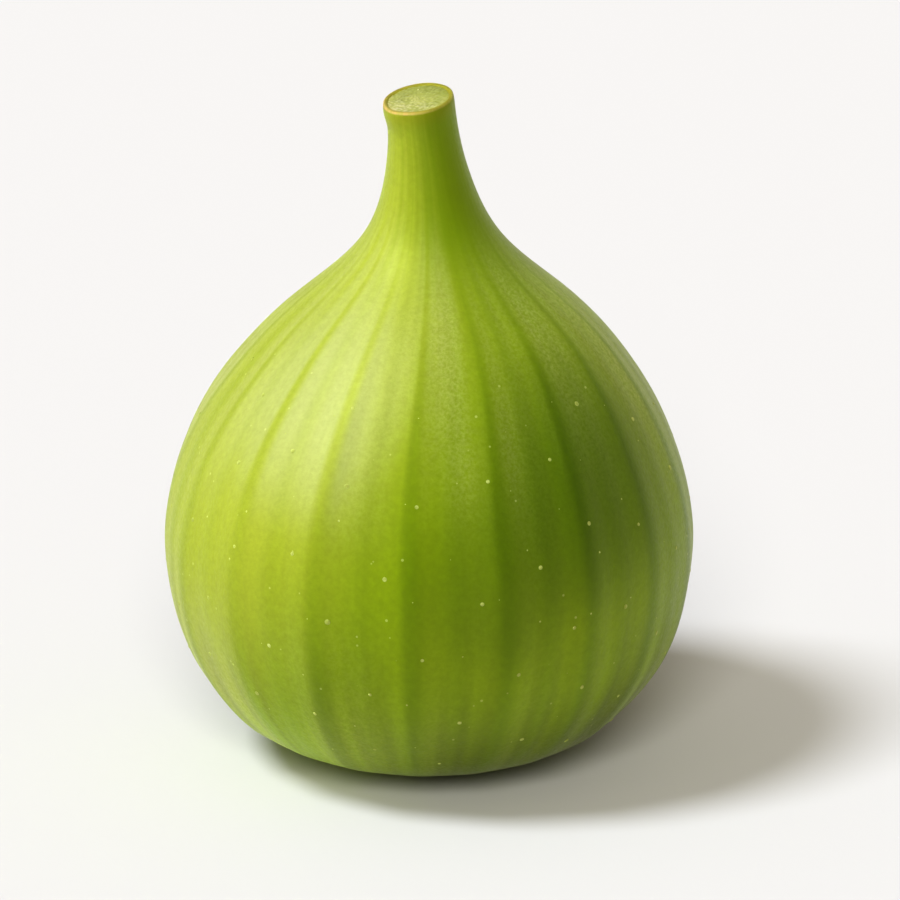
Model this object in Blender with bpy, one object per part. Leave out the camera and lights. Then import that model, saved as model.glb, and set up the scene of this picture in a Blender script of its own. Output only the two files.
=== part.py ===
"""A whole fresh green fig, standing on its eye end with its cut stem on top.

Metres, +Z up. The origin is on the surface that the fig stands on, under the middle of its body,
and -Y is its front. A fig grows as one piece, from the eye at the base to the cut stem, so it is
one solid: an outline turned about Z, then pressed into ribs, leant at the stem and cut aslant.
"""

import math

import bmesh
import bpy
from mathutils import Vector

# Driving dimensions.
HEIGHT = 0.0606  # from the surface to the middle of the stem's cut
WIDTH = 0.048  # across the widest part of the body
STEM_WIDTH = 0.0063  # across the stem, just under its cut

# The foot is the flat ring that the ripe flesh settles on, round the hollow of the eye.
FOOT_INNER = 0.104 * WIDTH
FOOT_OUTER = 0.154 * WIDTH
EYE_HOLLOW = 0.0014  # the deepest of the hollow, above the surface
EYE_BUD = 0.0009  # the underside of the closed eye, above the surface

# What shapes the skin's outline from the foot to the neck: each point pulls the curve towards it, and
# is a radius as a share of half the width, and a height as a share of the whole height.
SKIN_OUTLINE = (
    (0.399, 0.012),
    (0.663, 0.046),
    (0.805, 0.102),
    (0.923, 0.173),
    (0.983, 0.254),
    (1.008, 0.345),
    (0.962, 0.437),
    (0.871, 0.528),
    (0.733, 0.609),
    (0.577, 0.681),
    (0.391, 0.738),
    (0.247, 0.793),
    (0.168, 0.859),
    (0.128, 0.941),
)
STEPS_PER_POINT = 2  # points made on the curve for each of these

# The stem's rim, and the shallow dish that the cut flesh shrinks into.
RIM_RADIUS = STEM_WIDTH / 2
RIM_ROUND = 0.00035
DISH_RADIUS = 0.78 * RIM_RADIUS
DISH_DEPTH = 0.0003

# The ribs are veins under the skin, which stand out as soft edges between flatter strips.
RIB_COUNT = 18
SEGMENTS_PER_RIB = 6
RIB_DEPTH = 0.0002  # how far the strip's middle lies under the ribs
RIB_START = math.radians(-4)  # the rib nearest the front, counted from -Y towards +X
RIB_WANDER = math.radians(1.5)
RIB_FOOT = (0.0, 0.2)  # the shares of the height between which the ribs rise out of the skin
RIB_NECK = (0.66, 0.84)  # and between which they fade into the stem

# The body's slight out-of-roundness: three low lobes, as a share of the radius.
LOBE = 0.006
LOBE_COUNT = 3
LOBE_TURN = 1.2
LOBE_FOOT = (0.02, 0.3)
LOBE_NECK = (0.6, 0.85)

# The stem's lean and the cut's slant.
SHOULDER = (0.45, 0.7)  # the shares of the height between which the shoulder drifts to +X
SHOULDER_SHIFT = 0.0005
STEM_FOOT = 0.7  # from this share of the height up, the stem bends back to -X
STEM_LEAN = 0.00145
STEM_BEND = 1.6
CUT_SLANT = (0.9, 0.99)  # the shares of the height between which the skin takes up the cut's slant
CUT_RISE_X = 0.095  # how much the cut rises towards +X, and towards +Y
CUT_RISE_Y = 0.165


def smooth_curve(points, steps):
    """A cubic B-spline from the first point to the last, which the points between them pull on."""
    ends = [2 * points[0] - points[1], *points, 2 * points[-1] - points[-2]]
    curve = []
    for before, start, end, after in zip(ends, ends[1:], ends[2:], ends[3:]):
        for step in range(steps):
            t = step / steps
            pulls = ((1 - t) ** 3, 3 * t**3 - 6 * t**2 + 4, 3 * (t + t**2 - t**3) + 1, t**3)
            pulled = (p * w / 6 for p, w in zip((before, start, end, after), pulls))
            curve.append(sum(pulled, Vector((0, 0))))
    return [*curve, points[-1]]


def outline():
    """The turned outline as (radius, height), from the eye on the axis to the cut on the axis."""
    eye = [
        Vector((0, EYE_BUD)),
        Vector((0.030 * WIDTH, EYE_BUD)),
        Vector((0.045 * WIDTH, 0.9 * EYE_HOLLOW)),
        Vector((0.065 * WIDTH, EYE_HOLLOW)),
        Vector((0.085 * WIDTH, 0.6 * EYE_HOLLOW)),
    ]
    foot = [Vector((FOOT_INNER, 0)), Vector((FOOT_OUTER, 0))]
    skin = [Vector((r * WIDTH / 2, h * HEIGHT)) for r, h in SKIN_OUTLINE]
    under_rim = Vector((RIM_RADIUS, HEIGHT - 3 * RIM_ROUND))
    rim = [
        Vector((RIM_RADIUS, HEIGHT - RIM_ROUND)),
        Vector((RIM_RADIUS - 0.3 * RIM_ROUND, HEIGHT - 0.3 * RIM_ROUND)),
        Vector((RIM_RADIUS - RIM_ROUND, HEIGHT)),
    ]
    cut = [
        Vector((DISH_RADIUS, HEIGHT - 0.6 * DISH_DEPTH)),
        Vector((DISH_RADIUS / 2, HEIGHT - DISH_DEPTH)),
        Vector((0, HEIGHT - DISH_DEPTH)),
    ]
    side = smooth_curve([foot[1], *skin, under_rim], STEPS_PER_POINT)
    return [*eye, foot[0], *side, *rim, *cut]


def ease(value, start, end):
    """0 before start, 1 after end, and smooth between them."""
    t = min(max((value - start) / (end - start), 0), 1)
    return t * t * (3 - 2 * t)


def pressed_in(angle, height):
    """How far the skin lies under the round outline, at an angle from the front and a height."""
    place = (angle - RIB_START - RIB_WANDER * math.sin(angle)) * RIB_COUNT / math.tau
    from_middle = abs(2 * (place % 1) - 1)
    share = height / HEIGHT
    shown = ease(share, *RIB_FOOT) * (1 - ease(share, *RIB_NECK))
    return RIB_DEPTH * shown * (1 - from_middle**2)


def sideways(share):
    """How far to +X the outline's middle lies at a share of the height."""
    bend = max((share - STEM_FOOT) / (1 - STEM_FOOT), 0) ** STEM_BEND
    return SHOULDER_SHIFT * ease(share, *SHOULDER) - STEM_LEAN * bend


def shaped(point):
    """A point of the round solid, moved to where it is on the fig."""
    radius = math.hypot(point.x, point.y)
    angle = math.atan2(point.x, -point.y)
    share = point.z / HEIGHT
    lobes = LOBE * ease(share, *LOBE_FOOT) * (1 - ease(share, *LOBE_NECK))
    out = 1 + lobes * math.cos(LOBE_COUNT * angle + LOBE_TURN)
    if radius > FOOT_OUTER:
        out -= pressed_in(angle, point.z) / radius
    rise = ease(share, *CUT_SLANT) * (CUT_RISE_X * point.x + CUT_RISE_Y * point.y)
    return Vector((point.x * out + sideways(share), point.y * out, point.z + rise))


def turned(points, segments):
    """The outline's points turned a full circle about Z, as a closed bmesh."""
    mesh = bmesh.new()
    corners = [mesh.verts.new((r, 0, h)) for r, h in points]
    edges = [mesh.edges.new(pair) for pair in zip(corners, corners[1:])]
    bmesh.ops.spin(
        mesh,
        geom=[*corners, *edges],
        axis=(0, 0, 1),
        cent=(0, 0, 0),
        angle=math.tau,
        steps=segments,
    )
    bmesh.ops.remove_doubles(mesh, verts=mesh.verts, dist=1e-6)
    bmesh.ops.recalc_face_normals(mesh, faces=mesh.faces)
    return mesh


def skin_material():
    material = bpy.data.materials.new("green_fig_skin")
    material.use_nodes = True
    shader = material.node_tree.nodes["Principled BSDF"]
    shader.inputs["Base Color"].default_value = (0.30, 0.45, 0.03, 1)
    shader.inputs["Roughness"].default_value = 0.45
    shader.inputs["Metallic"].default_value = 0.0
    return material


def make_fig():
    solid = turned(outline(), RIB_COUNT * SEGMENTS_PER_RIB)
    for vert in solid.verts:
        vert.co = shaped(vert.co)
    mesh = bpy.data.meshes.new("fig")
    solid.to_mesh(mesh)
    solid.free()
    mesh.materials.append(skin_material())
    mesh.shade_smooth()
    mesh.set_sharp_from_angle(angle=math.radians(40))
    fig = bpy.data.objects.new("fig", mesh)
    bpy.context.collection.objects.link(fig)


def main():
    for old in list(bpy.data.objects):
        bpy.data.objects.remove(old)
    make_fig()


main()
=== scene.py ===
# %% [markdown]
# # A fresh green fig
#
# This lesson builds one whole fig: the ribbed skin, the specks on it, the cut face of its stem and the
# closed eye underneath. Every size is in metres. +Z is up, and -Y is the fig's front.
#
# A plain solid of the same fig is loaded first. It says where the fig stands and how big it is, and it
# is never changed here. The finished pieces take its place.

import math

import bmesh
import bpy
from mathutils import Matrix, Vector


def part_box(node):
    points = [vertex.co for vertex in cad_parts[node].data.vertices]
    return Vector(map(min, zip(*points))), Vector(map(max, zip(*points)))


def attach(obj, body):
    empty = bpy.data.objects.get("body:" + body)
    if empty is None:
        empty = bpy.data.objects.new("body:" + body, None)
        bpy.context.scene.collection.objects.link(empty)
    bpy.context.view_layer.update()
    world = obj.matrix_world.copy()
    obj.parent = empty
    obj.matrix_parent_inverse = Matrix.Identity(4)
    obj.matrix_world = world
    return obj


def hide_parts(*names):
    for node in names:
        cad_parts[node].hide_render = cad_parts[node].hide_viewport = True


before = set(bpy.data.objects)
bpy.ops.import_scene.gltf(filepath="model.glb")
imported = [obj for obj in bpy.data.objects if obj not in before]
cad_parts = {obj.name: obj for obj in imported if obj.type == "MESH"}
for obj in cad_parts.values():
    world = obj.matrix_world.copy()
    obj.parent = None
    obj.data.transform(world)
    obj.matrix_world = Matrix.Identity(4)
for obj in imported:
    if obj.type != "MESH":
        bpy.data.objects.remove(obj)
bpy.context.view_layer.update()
low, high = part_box("fig")
HEIGHT = high.z - low.z
HALF_WIDTH = (high.x - low.x) / 2
MM = 0.001
print(f"plain solid: {2000 * HALF_WIDTH:.1f} mm wide and {1000 * HEIGHT:.1f} mm high")

# %% [markdown]
# ## The view
#
# A long lens from half a metre away flattens the fig as a product picture does. The camera looks down
# by 18 degrees, so that the cut face on the stem shows as a narrow ellipse. The view transform is the
# plain one, so that colours come out as they are mixed. A gamma a little under 1 then deepens the
# darker half of the picture, as a print does.

# %% Camera
def put(name, data):
    """A new object with this data, in the scene."""
    made = bpy.data.objects.new(name, data)
    bpy.context.collection.objects.link(made)
    return made


AIM = Vector((2.0 * MM, 0, 0.461 * HEIGHT))
DISTANCE = 0.542
LOOKS_DOWN = math.radians(18)
FOCAL_LENGTH = 242  # in millimetres, as the sensor's width is
SENSOR_WIDTH = 36
NEAREST = 0.01
DEEPER = 0.85

lens = bpy.data.cameras.new("long_lens")
lens.lens = FOCAL_LENGTH
lens.sensor_width = SENSOR_WIDTH
lens.clip_start = NEAREST
camera = put("camera", lens)
camera.location = AIM + DISTANCE * Vector((0, -math.cos(LOOKS_DOWN), math.sin(LOOKS_DOWN)))
camera.rotation_euler = (math.pi / 2 - LOOKS_DOWN, 0, 0)
bpy.context.scene.camera = camera
bpy.context.scene.view_settings.view_transform = "Standard"
bpy.context.scene.view_settings.gamma = DEEPER
print(f"camera at {[round(c, 3) for c in camera.location]}")

# %% [markdown]
# ## One helper for every node
#
# A node tree is code as much as a picture: each node has settings, and each input is either a value or
# a link from another node's output. One helper covers all of that, for shapes and for materials alike.
# It gives back an output, so that calls nest as a formula does.
#
# Settings that come back often have names. `PLUS` to `TIMES_PLUS` are what a maths node does. `SMOOTH`
# makes a Map Range ease in and out instead of turning a corner. `RGBA` makes a Mix node mix colours.
# Such a node keeps places for numbers and vectors too, so its factor is input 0 and its two colours are
# inputs 6 and 7: `BY`, `FROM`, `TO`.

# %% The node helper
def add(tree, kind, *inputs, named=None, out=0, **settings):
    """Adds a node with its settings, fills its inputs in order, then by name, and returns an output."""
    node = tree.nodes.new(kind)
    for name, setting in settings.items():
        setattr(node, name, setting)
    for place, value in [*enumerate(inputs), *(named or {}).items()]:
        if isinstance(value, bpy.types.NodeSocket):
            tree.links.new(value, node.inputs[place])
        elif value is not None:
            node.inputs[place].default_value = value
    return node.outputs[out] if node.outputs else None


MATHS, RANGE, MIX = "ShaderNodeMath", "ShaderNodeMapRange", "ShaderNodeMix"
VECTOR, JOIN, SPLIT = "ShaderNodeVectorMath", "ShaderNodeCombineXYZ", "ShaderNodeSeparateXYZ"
NOISE, CELLS, LUCK = "ShaderNodeTexNoise", "ShaderNodeTexVoronoi", "ShaderNodeTexWhiteNoise"
STORE, READ = "GeometryNodeStoreNamedAttribute", "ShaderNodeAttribute"
PLUS, LESS = {"operation": "ADD"}, {"operation": "SUBTRACT"}
TIMES, OVER = {"operation": "MULTIPLY"}, {"operation": "DIVIDE"}
TIMES_PLUS = {"operation": "MULTIPLY_ADD"}
SMOOTH = {"interpolation_type": "SMOOTHSTEP"}
RGBA = {"out": 2, "data_type": "RGBA"}
BY, FROM, TO = 0, 6, 7

# %% [markdown]
# A geometry tree is a small machine with labelled knobs. The knobs are its inputs: sizes, counts and a
# material. These helpers make the empty machine, close it with the same last steps each time, and run it
# on an object. What comes out is kept as a plain mesh, because an exported model holds meshes and no
# machines.

# %% Geometry tree helpers
SOCKETS = {float: "NodeSocketFloat", int: "NodeSocketInt", bpy.types.Material: "NodeSocketMaterial"}


def new_tree(name, knobs):
    """An empty geometry tree whose inputs are the knobs, and the sockets that they come out of."""
    tree = bpy.data.node_groups.new(name, "GeometryNodeTree")
    tree.interface.new_socket("Geometry", in_out="INPUT", socket_type="NodeSocketGeometry")
    tree.interface.new_socket("Geometry", in_out="OUTPUT", socket_type="NodeSocketGeometry")
    for knob, value in knobs.items():
        kind = next(socket for python, socket in SOCKETS.items() if isinstance(value, python))
        tree.interface.new_socket(knob, in_out="INPUT", socket_type=kind)
    ways_in = add(tree, "NodeGroupInput").node.outputs
    return tree, {socket.name: socket for socket in ways_in if socket.name}


def finish_tree(tree, geometry, material):
    """Real geometry in place of instances, then the material, then the way out."""
    smooth = add(tree, "GeometryNodeSetShadeSmooth", geometry, None, True)
    real = add(tree, "GeometryNodeRealizeInstances", smooth)
    finished = add(tree, "GeometryNodeSetMaterial", real, None, material)
    add(tree, "NodeGroupOutput", finished)
    return tree


def run_tree(name, host, tree, knobs):
    """Runs a tree on a host object and returns the result as a new object with a plain mesh."""
    modifier = host.modifiers.new(tree.name, "NODES")
    modifier.node_group = tree
    places = {item.name: item.identifier for item in tree.interface.items_tree if item.in_out == "INPUT"}
    for knob, value in knobs.items():
        modifier[places[knob]] = value
    result = host.evaluated_get(bpy.context.evaluated_depsgraph_get())
    mesh = bpy.data.meshes.new_from_object(result)
    mesh.name = name
    host.modifiers.remove(modifier)
    triangles = sum(len(face.vertices) - 2 for face in mesh.polygons)
    print(f"{name}: {len(mesh.vertices)} points, {triangles} triangles")
    return put(name, mesh)


# %% [markdown]
# Two small helpers start every material. The first turns a colour as a painter reads it, such as
# `#9bb52f`, into the linear light that shaders work in. The second makes a material with the one shader
# that all of these finishes use.

# %% Material helpers
def colour(hex_code):
    """An sRGB hex colour as linear red, green, blue and alpha."""
    shares = [int(hex_code[i : i + 2], 16) / 255 for i in (1, 3, 5)]
    linear = (c / 12.92 if c <= 0.04045 else ((c + 0.055) / 1.055) ** 2.4 for c in shares)
    return (*linear, 1)


def new_material(name, roughness):
    """A material that isn't metal, with its tree and its shader."""
    material = bpy.data.materials.new(name)
    material.use_nodes = True
    shader = material.node_tree.nodes["Principled BSDF"]
    shader.inputs["Roughness"].default_value = roughness
    shader.inputs["Metallic"].default_value = 0.0
    return material, material.node_tree, shader


# %% [markdown]
# Nothing that grew is one flat colour. Where a finish only wanders between two tones, this helper mixes
# them in soft blotches of a given size.

# %% Blotches
def blotched(tree, place, size, detail, contrast, one, other):
    """Two colours in blotches. The contrast is how far the noise is cut off on either side of 0.5."""
    noise = add(tree, NOISE, place, None, 1 / size, detail)
    blotch = add(tree, RANGE, noise, 0.5 - contrast, 0.5 + contrast)
    return add(tree, MIX, named={BY: blotch, FROM: one, TO: other}, **RGBA)


# %% [markdown]
# ## The outline
#
# A fig swells from its closed eye and narrows into its stem, so half of its outline, turned about the
# upright axis, gives the whole body. The outline is a NURBS curve: its points don't lie on it, they pull
# it towards them, which keeps it as smooth as something that grew. Where several points lie on one
# straight line, the curve follows that line, and so the foot is flat. Each point is a radius as a share
# of half the width, and a height as a share of the whole height.

# %% Outline curve
EYE_HOLLOW = [(0.000, 0.0155), (0.050, 0.0155), (0.110, 0.0240), (0.165, 0.0210), (0.185, 0.0)]
FOOT = [(0.220, 0.0), (0.250, 0.0), (0.280, 0.0), (0.328, 0.0)]
SKIN = [
    (0.403, 0.012),
    (0.670, 0.045),
    (0.812, 0.101),
    (0.932, 0.171),
    (0.992, 0.252),
    (1.017, 0.342),
    (0.971, 0.433),
    (0.879, 0.524),
    (0.740, 0.604),
    (0.582, 0.675),
    (0.394, 0.732),
    (0.249, 0.786),
    (0.171, 0.852),
    (0.130, 0.932),
]
LIP = [(0.1275, 0.972), (0.1285, 0.983), (0.1275, 0.993), (0.119, 0.996), (0.111, 0.991)]
CUT = [(0.080, 0.987), (0.040, 0.987), (0.000, 0.987)]


def outline_curve(name, points, width, height):
    """A smooth curve in the XZ plane, from points that are shares of a width and of a height."""
    data = bpy.data.curves.new(name, "CURVE")
    data.dimensions = "3D"
    data.resolution_u = 12
    spline = data.splines.new("NURBS")
    spline.points.add(len(points) - 1)
    for point, (across, up) in zip(spline.points, points):
        point.co = (across * width, 0, up * height, 1)
    spline.order_u = 4
    spline.use_endpoint_u = True
    return put(name, data)


OUTLINE = [*EYE_HOLLOW, *FOOT, *SKIN, *LIP, *CUT]
body_outline = outline_curve("body_outline", OUTLINE, HALF_WIDTH, HEIGHT)
print(f"outline: {len(body_outline.data.splines[0].points)} points")

# %% [markdown]
# ## The body
#
# The skin follows a rule all the way round, so a geometry tree makes it. A flat grid is the start: its
# X is the angle round the fig and its Y is the way along the outline. Sample Curve reads the outline at
# each row. The rows crowd at both ends, where the eye and the cut need them. The flat grid has one row
# and one column more than it has steps, and its last column closes on its first.

# %% Body: rows and columns
RIB_COUNT = 18
COLUMNS_PER_RIB = 28
CROWDING = 0.6  # 0 spaces the rows evenly, and 1 would pile them up at both ends
BODY_KNOBS = {
    "Around": COLUMNS_PER_RIB * RIB_COUNT,
    "Along": 190,
    "Rib Count": float(RIB_COUNT),
    "Rib Start": math.radians(-4),
    "Rib Wander": math.radians(1.5),
    "Rib Drift": math.radians(3),
    "Rib Luck": 59220.0,
    "Rib Height": 0.22 * MM,
    "Side Rib Height": 0.03 * MM,
    "Flute Depth": 0.03 * MM,
    "Swell": 0.3 * MM,
    "Lobe": 0.006,
    "Shoulder Shift": 0.65 * MM,
    "Stem Lean": 1.42 * MM,
    "Lip Flare": 0.2 * MM,
    "Cut Rise X": 0.14,
    "Cut Rise Y": 0.185,
}


def rows_and_columns(tree, knob):
    """A flat grid, each point's angle round with its sine and cosine, and its way along."""
    rows = add(tree, MATHS, knob["Along"], 1, **PLUS)
    columns = add(tree, MATHS, knob["Around"], 1, **PLUS)
    grid = add(tree, "GeometryNodeMeshGrid", 1.0, 1.0, columns, rows)
    flat = add(tree, SPLIT, add(tree, "GeometryNodeInputPosition")).node.outputs
    angle = add(tree, MATHS, flat["X"], math.tau, **TIMES)
    sine = add(tree, MATHS, angle, operation="SINE")
    cosine = add(tree, MATHS, angle, operation="COSINE")
    along = add(tree, MATHS, flat["Y"], 0.5, **PLUS)
    turns = add(tree, MATHS, along, math.tau, **TIMES)
    wave = add(tree, MATHS, turns, operation="SINE")
    crowded = add(tree, MATHS, wave, -CROWDING / math.tau, along, **TIMES_PLUS)
    return grid, (angle, sine, cosine), crowded


def on_outline(tree, knob, along):
    """The radius and the height of the outline at each point's way along it."""
    sockets = {"Curves": knob["Geometry"], "Factor": along}
    sample = add(tree, "GeometryNodeSampleCurve", named=sockets, mode="FACTOR")
    place = add(tree, SPLIT, sample.node.outputs["Position"]).node.outputs
    return place["X"], place["Z"]


# %% [markdown]
# Eighteen veins run under the skin from the eye to the stem. Each one lifts the skin into a soft ridge,
# and no two are equally strong. A weaker vein runs up the middle of each strip between them.
#
# The strip number counts up by one from vein to vein. Its fraction says how far a point is from the
# nearest vein, and its whole part picks a random strength for that vein.

# %% Body: ribs
RIB_REACH = (0.25, 1.0)  # where a ridge rises, from 0 at a strip's middle to 1 at its vein
SIDE_RIB_REACH = (0.45, 0.0)
RIB_STRENGTHS = (0.4, 1.25)  # the weakest vein and the strongest
STRENGTHS_ALONG = (0.6, 1.3)  # and the same along any one of them
SUNK = 0.8  # how much of a rib's height lies inside the round outline


def ribs(tree, knob, around, ring, shown):
    """How far the ribs lift the skin, and the marks that the skin's colours follow."""
    angle, sine, _ = around
    drift = add(tree, MATHS, add(tree, NOISE, ring, None, 0.8, 1.0), 0.5, **LESS)
    sway = add(tree, MATHS, drift, knob["Rib Drift"], **TIMES)
    wander = add(tree, MATHS, sine, knob["Rib Wander"], sway, **TIMES_PLUS)
    start = add(tree, MATHS, wander, knob["Rib Start"], **PLUS)
    turned = add(tree, MATHS, angle, start, **LESS)
    per_turn = add(tree, MATHS, knob["Rib Count"], math.tau, **OVER)
    strip = add(tree, MATHS, turned, per_turn, **TIMES)
    past = add(tree, MATHS, strip, operation="FRACT")
    saw = add(tree, MATHS, past, 2, -1, **TIMES_PLUS)
    to_rib = add(tree, MATHS, saw, operation="ABSOLUTE")

    nearest = add(tree, MATHS, strip, operation="ROUND")
    rib_number = add(tree, MATHS, nearest, knob["Rib Count"], operation="FLOORED_MODULO")
    rib_seed = add(tree, MATHS, rib_number, knob["Rib Luck"], **PLUS)
    rib_luck = add(tree, LUCK, None, rib_seed, noise_dimensions="1D")
    this = add(tree, MATHS, strip, operation="FLOOR")
    strip_number = add(tree, MATHS, this, knob["Rib Count"], operation="FLOORED_MODULO")
    strip_luck = add(tree, LUCK, None, strip_number, noise_dimensions="1D")

    own = add(tree, RANGE, rib_luck, 0, 1, *RIB_STRENGTHS)
    along = add(tree, RANGE, add(tree, NOISE, ring, None, 1.6, 1.0), 0.3, 0.7, *STRENGTHS_ALONG)
    strength = add(tree, MATHS, own, along, **TIMES)
    ridge = add(tree, MATHS, add(tree, RANGE, to_rib, *RIB_REACH, **SMOOTH), strength, **TIMES)
    side_ridge = add(tree, RANGE, to_rib, *SIDE_RIB_REACH, **SMOOTH)
    low_ridge = add(tree, MATHS, side_ridge, knob["Side Rib Height"], **TIMES)
    lifted = add(tree, MATHS, ridge, knob["Rib Height"], low_ridge, **TIMES_PLUS)
    under = add(tree, MATHS, knob["Rib Height"], -SUNK, lifted, **TIMES_PLUS)
    relief = add(tree, MATHS, under, shown, **TIMES)
    return relief, {"to_rib": to_rib, "saw": saw, "rib_luck": rib_luck, "strip_luck": strip_luck}


# %% [markdown]
# Nothing that grew is truly round. The body has three low lobes and a slow swell, and the neck and the
# stem are finely fluted, because the veins lie close together there.

# %% Body: lobes, swell and flutes
LOBE_COUNT = 3
LOBE_TURN = 1.2
LOBED_FROM_FOOT = (0.02, 0.3)  # shares of the height, here and below
LOBED_TO_NECK = (0.85, 0.6)
FLUTED_STEM = (0.62, 0.8)
CUT_EDGE = (0.118, 0.136)  # shares of half the width
FLUTES = (6, 6, 1)  # about 40 flutes round the stem


def unevenness(tree, knob, angle, ring, radius_share, share, shown):
    """A factor on the radius for the lobes, and the relief of the swell and the flutes."""
    above_foot = add(tree, RANGE, share, *LOBED_FROM_FOOT, **SMOOTH)
    below_neck = add(tree, RANGE, share, *LOBED_TO_NECK, **SMOOTH)
    turned = add(tree, MATHS, angle, LOBE_COUNT, LOBE_TURN, **TIMES_PLUS)
    lobe = add(tree, MATHS, add(tree, MATHS, turned, operation="COSINE"), knob["Lobe"], **TIMES)
    on_body = add(tree, MATHS, above_foot, below_neck, **TIMES)
    lobed = add(tree, MATHS, lobe, on_body, 1, **TIMES_PLUS)

    slow = add(tree, MATHS, add(tree, NOISE, ring, None, 2.2, 1.5), 0.55, **LESS)
    swell = add(tree, MATHS, slow, knob["Swell"], **TIMES)
    swelled = add(tree, MATHS, swell, shown, **TIMES)

    close = add(tree, VECTOR, ring, FLUTES, **TIMES)
    fine = add(tree, MATHS, add(tree, NOISE, close, None, 1.0, 2.0), 0.6, **LESS)
    on_stem = add(tree, RANGE, share, *FLUTED_STEM, **SMOOTH)
    outside = add(tree, RANGE, radius_share, *CUT_EDGE, **SMOOTH)
    fluted = add(tree, MATHS, on_stem, outside, **TIMES)
    flute = add(tree, MATHS, fine, knob["Flute Depth"], **TIMES)
    relief = add(tree, MATHS, flute, fluted, swelled, **TIMES_PLUS)
    return lobed, relief


# %% [markdown]
# The shoulder drifts to one side, the stem leans back the other way, and the knife cut it aslant. The
# cut skin dried and curled out a little on the side that the stem leans to.

# %% Body: lean and slant
SHOULDER = (0.45, 0.7)  # shares of the height, here and below
LEANING_STEM = (0.7, 1.0)
STEM_BEND = 1.6  # 1 would lean the stem straight, and more bends it
CURLED_LIP = (0.955, 0.983)
CURLED_SIDE = (-0.2, -1.0)  # sines of the angle round, where -1 is the left
SLANTED_END = (0.9, 0.98)
STEM_RADIUS = 0.136  # a share of half the width


def lean_and_slant(tree, knob, around, out, height, share):
    """Where a point of the round body lies on the leaning fig."""
    _, sine, cosine = around
    shoulder = add(tree, RANGE, share, *SHOULDER, **SMOOTH)
    shift = add(tree, MATHS, shoulder, knob["Shoulder Shift"], **TIMES)
    bend = add(tree, MATHS, add(tree, RANGE, share, *LEANING_STEM), STEM_BEND, operation="POWER")
    lean = add(tree, MATHS, bend, knob["Stem Lean"], **TIMES)
    sideways = add(tree, MATHS, shift, lean, **LESS)

    left = add(tree, RANGE, sine, *CURLED_SIDE, **SMOOTH)
    at_lip = add(tree, RANGE, share, *CURLED_LIP, **SMOOTH)
    on_left_lip = add(tree, MATHS, left, at_lip, **TIMES)
    round_share = add(tree, MATHS, out, HALF_WIDTH, **OVER)
    not_middle = add(tree, RANGE, round_share, 0.0, STEM_RADIUS)
    flare = add(tree, MATHS, on_left_lip, not_middle, **TIMES)
    flared = add(tree, MATHS, flare, knob["Lip Flare"], out, **TIMES_PLUS)

    out_x = add(tree, MATHS, flared, sine, **TIMES)
    out_y = add(tree, MATHS, add(tree, MATHS, flared, cosine, **TIMES), -1, **TIMES)
    slope_y = add(tree, MATHS, out_y, knob["Cut Rise Y"], **TIMES)
    slope = add(tree, MATHS, out_x, knob["Cut Rise X"], slope_y, **TIMES_PLUS)
    slanted = add(tree, RANGE, share, *SLANTED_END, **SMOOTH)
    risen = add(tree, MATHS, slope, slanted, height, **TIMES_PLUS)
    return add(tree, JOIN, add(tree, MATHS, out_x, sideways, **PLUS), out_y, risen)


# %% [markdown]
# The tree leaves its working numbers on the mesh as named attributes. The skin's material reads them,
# so the colour of a vein sits exactly on its ridge, and the colour of the lip exactly on the lip. They
# are stored on the flat grid, before it is shaped, because they are worked out from its X and Y.

# %% Body: marks for the materials
VEIN_EDGES = (0.58, 0.66)  # where a vein's band starts, low down and high up, with 1 at the vein
NARROWER_ABOVE = (0.30, 0.62)  # shares of the height, here and below
# Painted shade: each band is narrower on its vein's left, so it darkens the flank away from the key light.
NARROWER_ON_LIT_FLANK = 0.12  # how much narrower a band is on its one side
VEIN_WEAK_ABOVE = (0.60, 0.85, 1.0, 0.5)  # and then the strengths that it changes between
VEIN_WEAK_BELOW = (0.04, 0.26, 0.35, 1.0)
CUT_TOP = (0.9, 0.95)
CUT_INSIDE = (0.128, 0.114)  # shares of half the width


def mark(tree, mesh, around, share, radius_share, rib):
    """Stores what the materials read: the veins, the height, the lip, and a vector for streaks."""
    strong = add(tree, RANGE, rib["rib_luck"], 0, 1, 1.0, 0.7)
    edge = add(tree, RANGE, share, *NARROWER_ABOVE, *VEIN_EDGES, **SMOOTH)
    lit_flank_edge = add(tree, MATHS, edge, NARROWER_ON_LIT_FLANK, **PLUS)
    edge_here = add(tree, RANGE, rib["saw"], -0.1, 0.1, edge, lit_flank_edge)
    band = add(tree, RANGE, rib["to_rib"], edge_here, 0.99, **SMOOTH)
    strong_band = add(tree, MATHS, band, strong, **TIMES)
    above = add(tree, RANGE, share, *VEIN_WEAK_ABOVE, **SMOOTH)
    below = add(tree, RANGE, share, *VEIN_WEAK_BELOW, **SMOOTH)
    faded = add(tree, MATHS, above, below, **TIMES)
    on_top = add(tree, RANGE, share, *CUT_TOP)
    inward = add(tree, RANGE, radius_share, *CUT_INSIDE, **SMOOTH)
    numbers = {
        "vein": add(tree, MATHS, strong_band, faded, **TIMES),
        "side_vein": add(tree, RANGE, rib["to_rib"], 0.4, 0.0, **SMOOTH),
        "strip_luck": rib["strip_luck"],
        "share": share,
        "cut_face": add(tree, MATHS, on_top, inward, **TIMES),
    }
    for name, number in numbers.items():
        mesh = add(tree, STORE, mesh, None, name, number, data_type="FLOAT", domain="POINT")
    _, sine, cosine = around
    streaks = add(tree, JOIN, sine, cosine, share)
    return add(tree, STORE, mesh, None, "streaks", streaks, data_type="FLOAT_VECTOR", domain="POINT")


# %% [markdown]
# The whole tree runs these steps in order, and closes the seam and the two poles at the end.

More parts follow.
